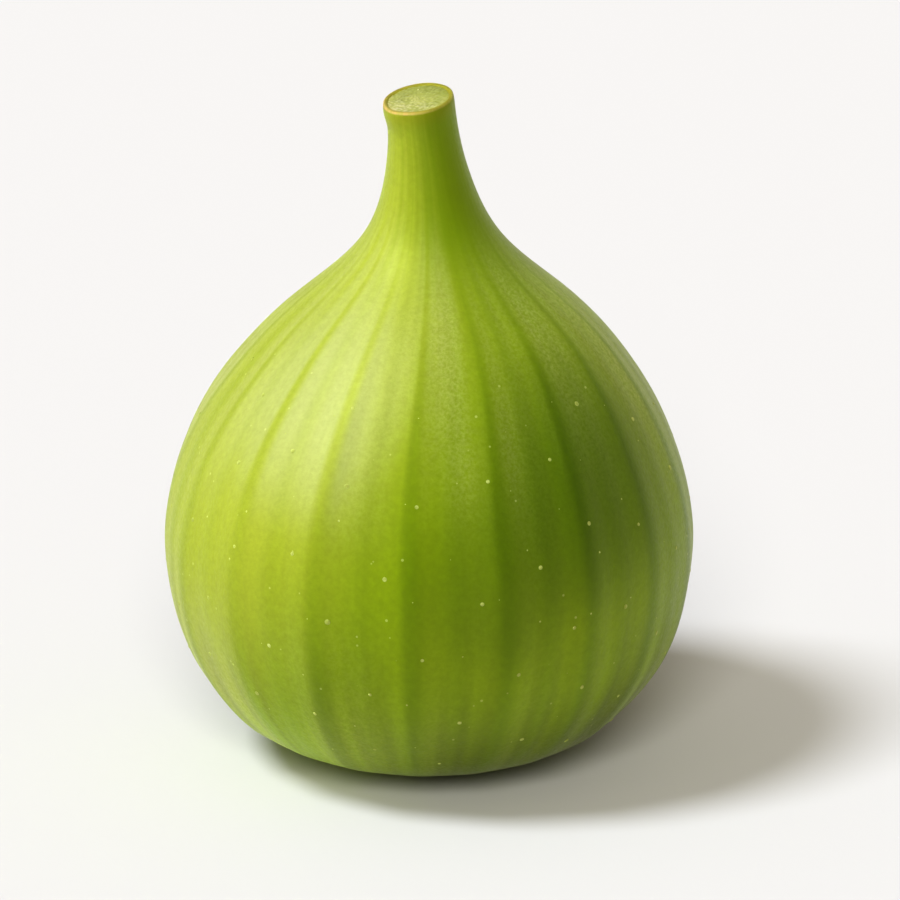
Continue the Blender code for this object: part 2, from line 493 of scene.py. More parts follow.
# %% Body: the whole tree
RING_HEIGHT = 2.5  # stretches the height against the radius, for patterns on the ring
RIBS_PAST_FOOT = (0.3, 0.8)  # shares of half the width
RIBS_BELOW_NECK = (0.84, 0.66)  # shares of the height
TOUCHING = 0.0005 * MM  # points this close are one point


def body_tree(knobs):
    """The whole skin, from the flat grid to the closed and marked body."""
    tree, knob = new_tree("fig_body_tree", knobs)
    grid, around, along = rows_and_columns(tree, knob)
    radius, height = on_outline(tree, knob, along)
    share = add(tree, MATHS, height, HEIGHT, **OVER)
    radius_share = add(tree, MATHS, radius, HALF_WIDTH, **OVER)
    angle, sine, cosine = around
    ring = add(tree, JOIN, sine, cosine, add(tree, MATHS, share, RING_HEIGHT, **TIMES))

    past_foot = add(tree, RANGE, radius_share, *RIBS_PAST_FOOT, **SMOOTH)
    below_neck = add(tree, RANGE, share, *RIBS_BELOW_NECK, **SMOOTH)
    shown = add(tree, MATHS, past_foot, below_neck, **TIMES)
    rib_relief, rib = ribs(tree, knob, around, ring, shown)
    lobed, slow_relief = unevenness(tree, knob, angle, ring, radius_share, share, shown)
    relief = add(tree, MATHS, rib_relief, slow_relief, **PLUS)
    out = add(tree, MATHS, radius, lobed, relief, **TIMES_PLUS)

    place = lean_and_slant(tree, knob, around, out, height, share)
    marked = mark(tree, grid, around, share, radius_share, rib)
    shaped = add(tree, "GeometryNodeSetPosition", marked, None, place)
    closed = add(tree, "GeometryNodeMergeByDistance", shaped, None, TOUCHING)
    return finish_tree(tree, closed, knob["Skin"])


# %% [markdown]
# ## The skin's finish
#
# A green fig's skin is alive: a thin wax layer over green tissue, satin rather than shiny. Its colour is
# laid on in steps, from the widest change to the smallest.
#
# 1. The side that faces the key light is painted a paler yellow green, as painted light. Two patches
#    on the front right, which overlap, are a deeper green, as painted shade where the light turns away.
# 2. Wax hazes the strips between the veins, with painted light on the lit side and a painted highlight.
# 3. The veins are darker and purer green bands, and fine streaks run from the stem to the eye.
# 4. Pin-prick pores and a grain finer than a millimetre cover it all.
# 5. Last, a painted shade darkens one side of the neck, the stem's end turns olive, the cut's lip dries.
#
# A painted picture, wrapped round, could do the same. Rules that read a point's place and its marks need
# no wrapping and hold at any size, so this way was chosen.
#
# Each side below is the way that it faces, then how far out along that way it starts and is complete,
# as shares of half the width, and then its strength.

# %% Skin: the sides of the fig
MIDDLE = Vector((0, 0, 0.38 * HEIGHT))
SIDES = {
    # painted light: the side that faces the key light is painted paler
    "painted_lit_side": ((-0.8, -0.1, 0.45), 0.18, 0.72, 1.0),
    # painted shade: two overlapping patches where the key light turns away, painted deeper green
    "painted_shade_patch": ((0.614, -0.681, 0.399), 0.80, 0.97, 0.9),
    "painted_shade_patch_tip": ((0.290, -0.945, 0.150), 0.89, 0.99, 0.5),
    # painted highlight: a pale patch high on the front left
    "painted_highlight": ((-0.46, -0.62, 0.63), 0.82, 1.0, 0.8),
}


def on_side(tree, place, side):
    """How far a point lies on one of the sides, from 0 to that side's strength."""
    facing, start, complete, strength = SIDES[side]
    from_middle = add(tree, VECTOR, place, MIDDLE, **LESS)
    toward = add(tree, VECTOR, from_middle, Vector(facing).normalized(), operation="DOT_PRODUCT", out=1)
    return add(tree, RANGE, toward, start * HALF_WIDTH, complete * HALF_WIDTH, 0, strength, **SMOOTH)


# %% Skin: what every step reads
def read_marks(tree):
    """A point's place, the marks that the tree stored there, and what follows from them."""
    names = ("vein", "side_vein", "strip_luck", "share", "cut_face")
    at = {name: add(tree, READ, out="Fac", attribute_name=name) for name in names}
    at["place"] = add(tree, "ShaderNodeTexCoord", out="Object")
    at["streaks"] = add(tree, READ, out="Vector", attribute_name="streaks")
    at["sideways"] = add(tree, SPLIT, at["streaks"]).node.outputs["X"]
    at["open_skin"] = add(tree, MATHS, 1, at["vein"], **LESS)
    at["painted_lit_side"] = on_side(tree, at["place"], "painted_lit_side")
    painted_shade_patch = on_side(tree, at["place"], "painted_shade_patch")
    painted_tip_shade = on_side(tree, at["place"], "painted_shade_patch_tip")
    outside_painted_shade = add(tree, MATHS, 1, painted_shade_patch, **LESS)
    at["leafy"] = add(tree, MATHS, outside_painted_shade, painted_tip_shade, painted_shade_patch, **TIMES_PLUS)
    return at


# %% Skin: painted light on the lit side and painted shade on the shaded side
PLAIN_GREEN = colour("#7b9308")
# The next two greens are painted light and painted shade.
PAINTED_LIT_GREEN = colour("#98a42e")
PAINTED_SHADE_GREEN = colour("#486700")


def ripened(tree, at):
    """The skin's widest change of colour: painted light on the lit side and a painted shade patch."""
    base = add(tree, MIX, named={BY: at["painted_lit_side"], FROM: PLAIN_GREEN, TO: PAINTED_LIT_GREEN}, **RGBA)
    return add(tree, MIX, named={BY: at["leafy"], FROM: base, TO: PAINTED_SHADE_GREEN}, **RGBA)


# %% [markdown]
# The wax is a pale dust like the one on a grape, which anything that touches it rubs off. It lies between
# the veins, in patches, more on some strips than on others. The shoulder keeps the most of it, the neck
# has hardly any, and near the base it yellows. Its haze also carries painted light: it is thicker toward
# the lit side, thicker still on the lit side of the base as light thrown up from the card, and thinner in
# the painted shade. One pale patch high on the front left is a painted highlight.
#
# The bands here and below are where a change starts and where it is complete, as shares of the height.
# Where two more numbers follow, they are the strengths that it changes between.

# %% Skin: haze of wax
WAX = colour("#aab26c")
YELLOWED_WAX = colour("#b5ab5c")
# the colour of the painted highlight
PAINTED_HIGHLIGHT_COLOUR = colour("#a5ad80")
WAX_PATCHES = (3.0, 3.0, 1.6)  # about 20 patches round the fig
DUST = 0.3 * MM  # coarser than real wax, which is too fine to show
DUSTINESS = (0.4, 1.6)
STRIP_WAX = (0.35, 0.52)  # on the barest strip and on the waxiest
SHOULDER_WAX = (0.40, 0.60, 0.03, 1.35)
NECK_BAND, NECK_WAX = (0.75, 0.86), 0.1
# At the base the wax is thicker on the lit side, as painted light thrown up from the card.
BASE_BAND, WAX_AND_CARD_LIGHT_AT_BASE = (0.38, 0.10), (0.4, 1.6)  # the wax on the shaded side and on the sunny side
# painted light: less wax on the shaded side than on the lit side
WAX_TOWARD_LIGHT = (0.6, 1.0)
# the wax in the painted shade
WAX_IN_PAINTED_SHADE = 0.2
YELLOWED_BAND = (0.25, 0.06)
# where the painted highlight stops, below the neck
PAINTED_HIGHLIGHT_BAND = (0.80, 0.70)


def hazed(tree, at, green):
    """The wax haze between the veins, with painted light on the lit side and a painted highlight."""
    wide = add(tree, VECTOR, at["streaks"], WAX_PATCHES, **TIMES)
    patch = add(tree, RANGE, add(tree, NOISE, wide, None, 1.0, 2.0), 0.35, 0.65)
    patchy = add(tree, MATHS, at["open_skin"], patch, **TIMES)
    own = add(tree, RANGE, at["strip_luck"], 0, 1, *STRIP_WAX)
    lucky = add(tree, MATHS, patchy, own, **TIMES)
    dust = add(tree, RANGE, add(tree, NOISE, at["place"], None, 1 / DUST, 2.0, 0.7), 0.35, 0.65, *DUSTINESS)
    dusty = add(tree, RANGE, at["painted_lit_side"], 0, 1, dust, 1.0)

    on_shoulder = add(tree, RANGE, at["share"], *SHOULDER_WAX, **SMOOTH)
    on_neck = add(tree, RANGE, at["share"], *NECK_BAND, on_shoulder, NECK_WAX, **SMOOTH)
    # Painted light: more wax at the lit side of the base and toward the lit side, less in the painted
    # shade.
    wax_and_card_light = add(tree, RANGE, at["painted_lit_side"], 0, 1, *WAX_AND_CARD_LIGHT_AT_BASE)
    at_base = add(tree, RANGE, at["share"], *BASE_BAND, on_neck, wax_and_card_light, **SMOOTH)
    unshaded = add(tree, RANGE, at["leafy"], 0, 1, at_base, WAX_IN_PAINTED_SHADE)
    wax_toward_light = add(tree, RANGE, at["painted_lit_side"], 0, 1, *WAX_TOWARD_LIGHT)
    wax_with_painted_light = add(tree, MATHS, wax_toward_light, unshaded, **TIMES)
    thick = add(tree, MATHS, wax_with_painted_light, dusty, **TIMES)
    haze = add(tree, MATHS, lucky, thick, **TIMES)
    low = add(tree, RANGE, at["share"], *YELLOWED_BAND, **SMOOTH)
    wax = add(tree, MIX, named={BY: low, FROM: WAX, TO: YELLOWED_WAX}, **RGBA)
    waxy = add(tree, MIX, named={BY: haze, FROM: green, TO: wax}, **RGBA)

    # The painted highlight: a pale patch high on the front left, below the neck.
    below_neck = add(tree, RANGE, at["share"], *PAINTED_HIGHLIGHT_BAND, **SMOOTH)
    near = add(tree, MATHS, on_side(tree, at["place"], "painted_highlight"), below_neck, **TIMES)
    painted_highlight_share = add(tree, MATHS, near, at["open_skin"], **TIMES)
    return add(tree, MIX, named={BY: painted_highlight_share, FROM: waxy, TO: PAINTED_HIGHLIGHT_COLOUR}, **RGBA)


# %% [markdown]
# A vein is the same green with the paleness taken out, so its band multiplies the colour under it. The
# finer strings between the veins show as streaks. They are noise on the vector that the tree stored,
# squeezed round the fig and stretched up it, so they run from the stem to the eye and crowd together at
# both ends, as real strings do.

# %% Skin: veins
VEIN_TINT = (0.68, 0.76, 0.25, 1)
VEINS_SHADED_TO_LIT_SIDE = (1.0, 0.5)
SIDE_VEINS = (0.5, 0.15)
VEINS_FADE = (0.58, 0.74, 1.0, 0.6)


def veined(tree, at, green):
    """The bands of the veins and of the weaker veins between them."""
    # On the painted lit side the veins show half as dark, as part of its painted light.
    veins_by_side = add(tree, RANGE, at["painted_lit_side"], 0, 1, *VEINS_SHADED_TO_LIT_SIDE)
    strong = add(tree, MATHS, at["vein"], veins_by_side, **TIMES)
    side = add(tree, RANGE, at["strip_luck"], 0, 1, *SIDE_VEINS)
    weak = add(tree, MATHS, at["side_vein"], side, **TIMES)
    both = add(tree, MATHS, weak, strong, **PLUS)
    fading = add(tree, RANGE, at["share"], *VEINS_FADE, **SMOOTH)
    shown = add(tree, MATHS, both, fading, **TIMES)
    return add(tree, MIX, named={BY: shown, FROM: green, TO: VEIN_TINT}, blend_type="MULTIPLY", **RGBA)


# %% Skin: streaks
FINE_STREAKS = (26.0, 26.0, 2.2)  # about 160 round the fig, nearly a millimetre each at its widest
FINE_STREAK_SHADES = (0.965, 1.035)
BROAD_STREAKS = (11.0, 11.0, 1.2)  # about 70 round the fig
BODY_STREAKS = 0.05
STREAKED_NECK = (0.62, 0.76)
NECK_STREAKS = (-0.5, 0.4, 0.03, 0.45)  # from one side to the other, and how strong
STREAKED_BASE, BASE_STREAKS = (0.34, 0.10), 1.2
# Painted light and shade at the foot: lighter on the left, darker on the right, near the floor.
PAINTED_FOOT_BAND = (0.22, 0.05)
FOOT_LIGHT_AND_SHADE = (-0.7, 0.2, 1.3, 0.52)


def streaked(tree, at, green):
    """Fine streaks, broader ones gathered on the neck and base, and painted light and shade at the foot."""
    narrow = add(tree, VECTOR, at["streaks"], FINE_STREAKS, **TIMES)
    fine = add(tree, RANGE, add(tree, NOISE, narrow, None, 1.0, 2.0), 0.25, 0.75, *FINE_STREAK_SHADES)
    gathered = add(tree, VECTOR, at["streaks"], BROAD_STREAKS, **TIMES)
    broad = add(tree, MATHS, add(tree, NOISE, gathered, None, 1.0, 1.0), 0.5, **LESS)
    neck_streaks = add(tree, RANGE, at["sideways"], *NECK_STREAKS)
    on_neck = add(tree, RANGE, at["share"], *STREAKED_NECK, BODY_STREAKS, neck_streaks, **SMOOTH)
    at_ends = add(tree, RANGE, at["share"], *STREAKED_BASE, on_neck, BASE_STREAKS, **SMOOTH)
    lines = add(tree, MATHS, broad, at_ends, fine, **TIMES_PLUS)
    # Painted light and shade at the foot, from the left side to the right.
    foot_light_and_shade = add(tree, RANGE, at["sideways"], *FOOT_LIGHT_AND_SHADE)
    painted_foot = add(tree, RANGE, at["share"], *PAINTED_FOOT_BAND, 1.0, foot_light_and_shade, **SMOOTH)
    shade = add(tree, MATHS, lines, painted_foot, **TIMES)
    return add(tree, VECTOR, green, named={"Scale": shade}, operation="SCALE")


# %% [markdown]
# Towards its end the stem turns olive. The neck and stem are a deeper green on the side away from the
# key light, as painted shade. The knife left a lip of skin round the cut, which dried tan on its left side.
# The lip's band is under a fifth of a millimetre high, so its two numbers lie close together.

# %% Skin: neck and lip
# the green of the painted shade on the neck and stem
PAINTED_NECK_SHADE_GREEN = colour("#6f8c00")
OLIVE = colour("#8a8a14")
DRY_SKIN = colour("#96943a")
TANNED_SKIN = colour("#c6a56a")
LIP_FLECKS = colour("#a8a24c")
CUT_SKIN = colour("#8d8c26")
PAINTED_NECK_SHADE = (0.69, 0.83, 0, 0.85)
NECK_SHADE_SIDES = (-0.45, 1.05)  # from one side to the other, pushed to and fro by the bands
NECK_BANDS = (7.0, 7.0, 3.0)  # about 45 round the stem
OLIVE_END = (0.965, 0.988, 0, 0.35)
TANNED_SIDES = (0.6, -0.6)
DRIED_LIP = (0.9895, 0.9920)


def lipped(tree, at, green):
    """The neck's painted shade, the olive end of the stem, and the lip that the knife left to dry."""
    # Painted shade on the side of the neck and stem away from the key light.
    on_neck = add(tree, RANGE, at["share"], *PAINTED_NECK_SHADE, **SMOOTH)
    wide = add(tree, VECTOR, at["streaks"], NECK_BANDS, **TIMES)
    ragged = add(tree, MATHS, add(tree, NOISE, wide, None, 1.0, 2.0), at["sideways"], **PLUS)
    away = add(tree, RANGE, ragged, *NECK_SHADE_SIDES, **SMOOTH)
    shaded = add(tree, MATHS, on_neck, away, **TIMES)
    neck = add(tree, MIX, named={BY: shaded, FROM: green, TO: PAINTED_NECK_SHADE_GREEN}, **RGBA)
    olive = add(tree, RANGE, at["share"], *OLIVE_END, **SMOOTH)
    at_end = add(tree, MIX, named={BY: olive, FROM: neck, TO: OLIVE}, **RGBA)

    tanned = add(tree, RANGE, at["sideways"], *TANNED_SIDES, **SMOOTH)
    dry = add(tree, MIX, named={BY: tanned, FROM: DRY_SKIN, TO: TANNED_SKIN}, **RGBA)
    flecked = add(tree, RANGE, add(tree, NOISE, at["streaks"], None, 9.0, 2.0), 0.45, 0.65, 0.0, 0.7)
    lip = add(tree, MIX, named={BY: flecked, FROM: dry, TO: LIP_FLECKS}, **RGBA)
    dried = add(tree, RANGE, at["share"], *DRIED_LIP, **SMOOTH)
    with_lip = add(tree, MIX, named={BY: dried, FROM: at_end, TO: lip}, **RGBA)
    return add(tree, MIX, named={BY: at["cut_face"], FROM: with_lip, TO: CUT_SKIN}, **RGBA)


# %% Skin: mottling and pores
MOTTLE = 0.6 * MM
MOTTLE_SHADES = (0.93, 1.07)
PORE = colour("#d5d98a")
PORE_SPACING = 2.2 * MM
PORE_EDGE = (0.04, 0.07, 0.35, 0.0)  # shares of the spacing, and then the pore's strength
PORELESS_NECK = (0.70, 0.62)


def mottled(tree, at, green):
    """Uneven green, finer than a millimetre."""
    patches = add(tree, NOISE, at["place"], None, 1 / MOTTLE, 3.0, 0.6)
    shade = add(tree, RANGE, patches, 0.3, 0.7, *MOTTLE_SHADES)
    return add(tree, VECTOR, green, named={"Scale": shade}, operation="SCALE")


def pored(tree, at, green):
    """Pin-prick pores, the beginnings of the specks that are made as pieces further down."""
    from_pore = add(tree, CELLS, at["place"], named={"Scale": 1 / PORE_SPACING})
    pore = add(tree, RANGE, from_pore, *PORE_EDGE, **SMOOTH)
    below_neck = add(tree, RANGE, at["share"], *PORELESS_NECK, 0, pore)
    return add(tree, MIX, named={BY: below_neck, FROM: green, TO: PORE}, **RGBA)


# %% [markdown]
# The wax also decides how the skin shines. It is satin, a roughness of about 0.4, and its fine grain
# spreads each highlight a little unevenly. A thin sheen gives the soft pale edge that a dusty surface
# shows where it turns away. The highlight is tinted, because light comes back out of the wax yellower
# than it went in.

# %% Skin material
GRAIN = 0.35 * MM
GRAIN_DEPTH = 0.05 * MM
SATIN = (0.36, 0.50)
SKIN_FINISH = {
    "Specular IOR Level": 0.5,
    "Specular Tint": (1.0, 1.0, 0.2, 1),
    "Sheen Weight": 0.10,
    "Sheen Roughness": 0.25,
    "Sheen Tint": (0.9, 0.95, 0.75, 1),
}


def skin_material():
    """Waxy green fig skin: all of the steps above, in order, and its satin grain."""
    material, tree, shader = new_material("waxy_fig_skin", 0.42)
    at = read_marks(tree)
    green = ripened(tree, at)
    for step in (hazed, veined, streaked, mottled, pored, lipped):
        green = step(tree, at, green)
    tree.links.new(green, shader.inputs["Base Color"])
    grain = add(tree, NOISE, at["place"], None, 1 / GRAIN, 2.0, 0.6)
    tree.links.new(add(tree, RANGE, grain, 0.3, 0.7, *SATIN), shader.inputs["Roughness"])
    bump = add(tree, "ShaderNodeBump", 0.5, GRAIN_DEPTH, named={"Height": grain})
    tree.links.new(bump, shader.inputs["Normal"])
    for name, value in SKIN_FINISH.items():
        shader.inputs[name].default_value = value
    return material


# %% [markdown]
# Now the tree can run. Two calls then settle the finished piece: `attach` sets the body that it moves
# with, and `hide_parts` hides the node of the plain solid that it stands for.

# %% The body
BODY_KNOBS["Skin"] = skin_material()
print(f"skin: {len(BODY_KNOBS['Skin'].node_tree.nodes)} nodes")
body = run_tree("fig_body", body_outline, body_tree(BODY_KNOBS), BODY_KNOBS)
bpy.data.objects.remove(body_outline)
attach(body, "root")
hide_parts("fig")

# %% [markdown]
# ## Lenticels
#
# The pale specks on a fig are lenticels, corky pores that stand a little proud of the skin. They lie
# scattered but never crowded, which is what Poisson scattering gives: random points, each at least a
# set distance from the next. Each one is a flattened ball, half sunk in the skin. There are a few
# hundred of them, so a ball has only a few dozen faces.
#
# The same tree runs twice, once for the grown specks and once for the young ones between them. Points
# are first tried one for every `TRIED` by `TRIED` square, and the spacing then thins them.

# %% Lenticel tree
TRIED = 2 * MM
BALL_SEGMENTS, BALL_RINGS = 8, 6
LENTICEL_KNOBS = {
    "Lowest": 0.06 * HEIGHT,
    "Highest": 0.62 * HEIGHT,
    "Spacing": 6.0 * MM,
    "Smallest": 0.16 * MM,
    "Largest": 0.26 * MM,
    "Flatness": 0.25,
    "Seed": 4,
}


def scatter_tree(name, knobs):
    """Flattened balls scattered over the host's surface between two heights."""
    tree, knob = new_tree(name, knobs)
    up = add(tree, SPLIT, add(tree, "GeometryNodeInputPosition")).node.outputs["Z"]
    above = add(tree, "FunctionNodeCompare", up, knob["Lowest"], operation="GREATER_THAN")
    below = add(tree, "FunctionNodeCompare", up, knob["Highest"], operation="LESS_THAN")
    between = add(tree, "FunctionNodeBooleanMath", above, below, operation="AND")
    points = add(
        tree,
        "GeometryNodeDistributePointsOnFaces",
        named={
            "Mesh": knob["Geometry"],
            "Selection": between,
            "Distance Min": knob["Spacing"],
            "Density Max": 1 / TRIED**2,
            "Seed": knob["Seed"],
        },
        distribute_method="POISSON",
    )
    ball = add(tree, "GeometryNodeMeshUVSphere", BALL_SEGMENTS, BALL_RINGS, 1.0)
    draw = add(tree, "FunctionNodeRandomValue", named={2: 0.0, 3: 1.0, "Seed": knob["Seed"]}, out=1)
    few_large = add(tree, MATHS, draw, 2, operation="POWER")
    size = add(tree, RANGE, few_large, 0, 1, knob["Smallest"], knob["Largest"])
    thick = add(tree, MATHS, size, knob["Flatness"], **TIMES)
    scale = add(tree, JOIN, size, size, thick)
    turned = points.node.outputs["Rotation"]
    balls = add(tree, "GeometryNodeInstanceOnPoints", points, None, ball, None, None, turned, scale)
    return finish_tree(tree, balls, knob["Material"])


# %% [markdown]
# Cork is a dry, pale yellow tissue, much rougher than the wax around it. It gives the eye small matt
# dots that stay light even on the shaded side.

# %% Lenticels
CORK = colour("#98a440")
PALE_CORK = colour("#c0c870")
CORK_BLOTCH = 0.6 * MM
YOUNG = {"Spacing": 4.6 * MM, "Smallest": 0.05 * MM, "Largest": 0.11 * MM, "Seed": 11}


def cork_material():
    """Dry cork, in two tones."""
    material, tree, shader = new_material("dry_cork_of_lenticels", 0.62)
    place = add(tree, "ShaderNodeTexCoord", out="Object")
    pale = blotched(tree, place, CORK_BLOTCH, 2.0, 0.2, CORK, PALE_CORK)
    tree.links.new(pale, shader.inputs["Base Color"])
    shader.inputs["Specular IOR Level"].default_value = 0.3
    return material


grown_knobs = {**LENTICEL_KNOBS, "Material": cork_material()}
lenticel_tree = scatter_tree("lenticel_tree", grown_knobs)
lenticels = run_tree("lenticels", body, lenticel_tree, grown_knobs)
young_lenticels = run_tree("young_lenticels", body, lenticel_tree, {**grown_knobs, **YOUNG})
for specks in (lenticels, young_lenticels):
    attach(specks, "root")

# %% [markdown]
# ## The cut face
#
# Inside the lip, the cut shows pale wet flesh with strings in it, the same strings that feed the veins.
# The flesh is a disc like a flat lens, made as the body was: an outline, turned. It is made lying flat
# at the origin, roughened there, and then its points are turned and moved into the slanting cut.

# %% Cut face: where it lies
LIP_BAND = 0.0005  # the lip's own points lie within this share of the height from the top
marks = body.data.attributes["share"].data
top = max(mark_here.value for mark_here in marks)
lip_points = [v.co for v, mark_here in zip(body.data.vertices, marks) if mark_here.value > top - LIP_BAND]
LIP_MIDDLE = sum(lip_points, Vector()) / len(lip_points)
LIP_RADIUS = sum((point - LIP_MIDDLE).length for point in lip_points) / len(lip_points)
CUT_UP = Vector((-BODY_KNOBS["Cut Rise X"], -BODY_KNOBS["Cut Rise Y"], 1)).normalized()
INTO_CUT = Matrix.Translation(LIP_MIDDLE) @ CUT_UP.to_track_quat("Z", "Y").to_matrix().to_4x4()
print(f"lip: {len(lip_points)} points, {1000 * LIP_RADIUS:.2f} mm from the middle of the cut")

# %% Cut face: flesh tree
FLESH_UNDERSIDE = [(0, -0.6), (0.5, -0.6), (0.95, -0.6), (1.0, -0.3)]  # shares of the radius, and mm
FLESH_TOP = [(0.98, 0.05), (0.8, -0.1), (0.4, -0.15), (0, -0.1)]
TOP_STARTS = (0.54, 0.57)  # how far along the outline the underside ends and the top begins
STRING_SPACING = 0.24 * MM
LUMP = 0.5 * MM
FLESH_KNOBS = {
    "Around": 160,
    "Along": 80,
    "Radius": 1.03 * LIP_RADIUS,
    "Strings": 0.035 * MM,
    "Roughness": 0.06 * MM,
}


def flesh_tree(knobs):
    """The lens of flesh, lying flat, with its strings and lumps and the marks for its material."""
    tree, knob = new_tree("stem_flesh_tree", knobs)
    grid, (_, sine, cosine), along = rows_and_columns(tree, knob)
    radius, height = on_outline(tree, knob, along)
    flat_x = add(tree, MATHS, radius, sine, **TIMES)
    flat_y = add(tree, MATHS, add(tree, MATHS, radius, cosine, **TIMES), -1, **TIMES)
    flat = add(tree, JOIN, flat_x, flat_y, 0.0)
    spots = add(tree, CELLS, flat, named={"Scale": 1 / STRING_SPACING}, feature="SMOOTH_F1")
    string = add(tree, RANGE, spots, 0.15, 0.6, 1.0, 0.0, **SMOOTH)
    lumps = add(tree, MATHS, add(tree, NOISE, flat, None, 1 / LUMP, 3.0), 0.5, **LESS)
    lumpy = add(tree, MATHS, lumps, knob["Roughness"], **TIMES)
    relief = add(tree, MATHS, string, knob["Strings"], lumpy, **TIMES_PLUS)
    on_top = add(tree, RANGE, along, *TOP_STARTS)
    risen = add(tree, MATHS, relief, on_top, height, **TIMES_PLUS)
    numbers = {
        "string": string,
        "out": add(tree, MATHS, radius, knob["Radius"], **OVER),
        "front": add(tree, MATHS, flat_y, knob["Radius"], **OVER),
    }
    marked = grid
    for name, number in numbers.items():
        marked = add(tree, STORE, marked, None, name, number, data_type="FLOAT", domain="POINT")
    shaped = add(tree, "GeometryNodeSetPosition", marked, None, add(tree, JOIN, flat_x, flat_y, risen))
    closed = add(tree, "GeometryNodeMergeByDistance", shaped, None, TOUCHING)
    return finish_tree(tree, closed, knob["Flesh"])


# %% [markdown]
# Fresh flesh is wet and lets light in a little way. It gives the eye a pale yellow green, whitish where
# strings are cut across, and brown where the air reached it first, along the lip.

# %% Cut face: flesh
FLESH = colour("#868e2a")
PALE_FLESH = colour("#a9ae58")
BACK_FLESH = colour("#74801c")
CUT_STRING = colour("#d8d6ae")
BROWNED_FLESH = colour("#9a8a24")
FLESH_PATCH = 1.2 * MM
FLESH_GRAIN = 0.15 * MM
FLESH_GRAIN_DEPTH = 0.03 * MM
FLESH_SUNK = 0.14 * MM  # how far the flesh shrank below the lip


def flesh_material():
    """Wet flesh, whiter where its strings are cut and browner by the lip."""
    material, tree, shader = new_material("wet_cut_flesh", 0.28)
    at = {name: add(tree, READ, out="Fac", attribute_name=name) for name in ("string", "out", "front")}
    place = add(tree, "ShaderNodeTexCoord", out="Object")
    patchy = blotched(tree, place, FLESH_PATCH, 3.0, 0.15, FLESH, PALE_FLESH)
    at_back = add(tree, RANGE, at["front"], -0.3, 0.9, 0, 0.6, **SMOOTH)
    green = add(tree, MIX, named={BY: at_back, FROM: patchy, TO: BACK_FLESH}, **RGBA)
    toward_front = add(tree, RANGE, at["front"], 0.3, -0.8, 0.2, 0.75, **SMOOTH)
    pale = add(tree, MATHS, at["string"], toward_front, **TIMES)
    stringy = add(tree, MIX, named={BY: pale, FROM: green, TO: CUT_STRING}, **RGBA)
    browned = add(tree, RANGE, at["out"], 0.84, 1.0, 0, 0.7, **SMOOTH)
    edged = add(tree, MIX, named={BY: browned, FROM: stringy, TO: BROWNED_FLESH}, **RGBA)
    tree.links.new(edged, shader.inputs["Base Color"])
    fine = add(tree, NOISE, place, None, 1 / FLESH_GRAIN, 2.0)
    bump = add(tree, "ShaderNodeBump", 0.5, FLESH_GRAIN_DEPTH, named={"Height": fine})
    tree.links.new(bump, shader.inputs["Normal"])
    return material


FLESH_KNOBS["Flesh"] = flesh_material()
flesh_outline = outline_curve("flesh_outline", [*FLESH_UNDERSIDE, *FLESH_TOP], FLESH_KNOBS["Radius"], MM)
stem_flesh = run_tree("stem_flesh", flesh_outline, flesh_tree(FLESH_KNOBS), FLESH_KNOBS)
bpy.data.objects.remove(flesh_outline)
stem_flesh.data.transform(INTO_CUT @ Matrix.Translation((0, 0, -FLESH_SUNK)))
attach(stem_flesh, "root")

# %% [markdown]
# A cut fig stem bleeds a milky sap. Most of it was wiped away, and what still stands on the flesh is a
# tiny bead that catches the light. The tree that scattered the specks makes it too, only rounder. Sap
# is mostly water, so its IOR is close to water's, and it is the smoothest finish here.

# %% Cut face: beads of sap
MILKY = colour("#eceacb")
SAP_IOR = 1.38
SAP_KNOBS = {
    "Lowest": LIP_MIDDLE.z,
    "Highest": 1.1 * HEIGHT,
    "Spacing": 1.1 * MM,
    "Smallest": 0.05 * MM,
    "Largest": 0.10 * MM,
    "Flatness": 0.7,
    "Seed": 3,
}


def sap_material():
    """Fresh milky sap, smooth and wet."""
    material, _, shader = new_material("milky_sap", 0.12)
    shader.inputs["Base Color"].default_value = MILKY
    shader.inputs["IOR"].default_value = SAP_IOR
    return material


SAP_KNOBS["Material"] = sap_material()
sap_beads = run_tree("sap_beads", stem_flesh, scatter_tree("sap_tree", SAP_KNOBS), SAP_KNOBS)
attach(sap_beads, "root")

# %% [markdown]
# ## The eye
#
# Underneath, the fig's eye is closed by small pointed scales that overlap like roof tiles, in rings from
# the edge of the hollow to the middle. One scale is made as a small mesh. The tree sets copies of it
# round each ring, with each tip tilted down towards the middle.

# %% Eye: one scale
SCALE_CORNERS = 14
SCALE_HALF_WIDTH = 0.42  # shares of the scale's length, here and below
SCALE_POINT = 0.45  # how much narrower the tip is than the root
SCALE_CURL = 0.10
SCALE_PEAK = 0.45
SCALE_TOP, SCALE_UNDER = 0.10, -0.12


def scale_mesh():
    """A pointed oval plate, 1 long from its root at X 0 to its tip at X 1, closed all round."""
    mesh = bmesh.new()
    rim = []
    for step in range(SCALE_CORNERS):
        turn = math.tau * step / SCALE_CORNERS
        x = 0.5 + 0.5 * math.cos(turn)
        y = SCALE_HALF_WIDTH * math.sin(turn) * (1 - SCALE_POINT * x)
        rim.append(mesh.verts.new((x, y, SCALE_CURL * (0.25 - (x - 0.5) ** 2))))
    upper = mesh.verts.new((SCALE_PEAK, 0, SCALE_TOP))
    lower = mesh.verts.new((SCALE_PEAK, 0, SCALE_UNDER))
    for one, other in zip(rim, rim[1:] + rim[:1]):
        mesh.faces.new((one, other, upper))
        mesh.faces.new((other, one, lower))
    data = bpy.data.meshes.new("eye_scale")
    mesh.to_mesh(data)
    mesh.free()
    return put("eye_scale", data)


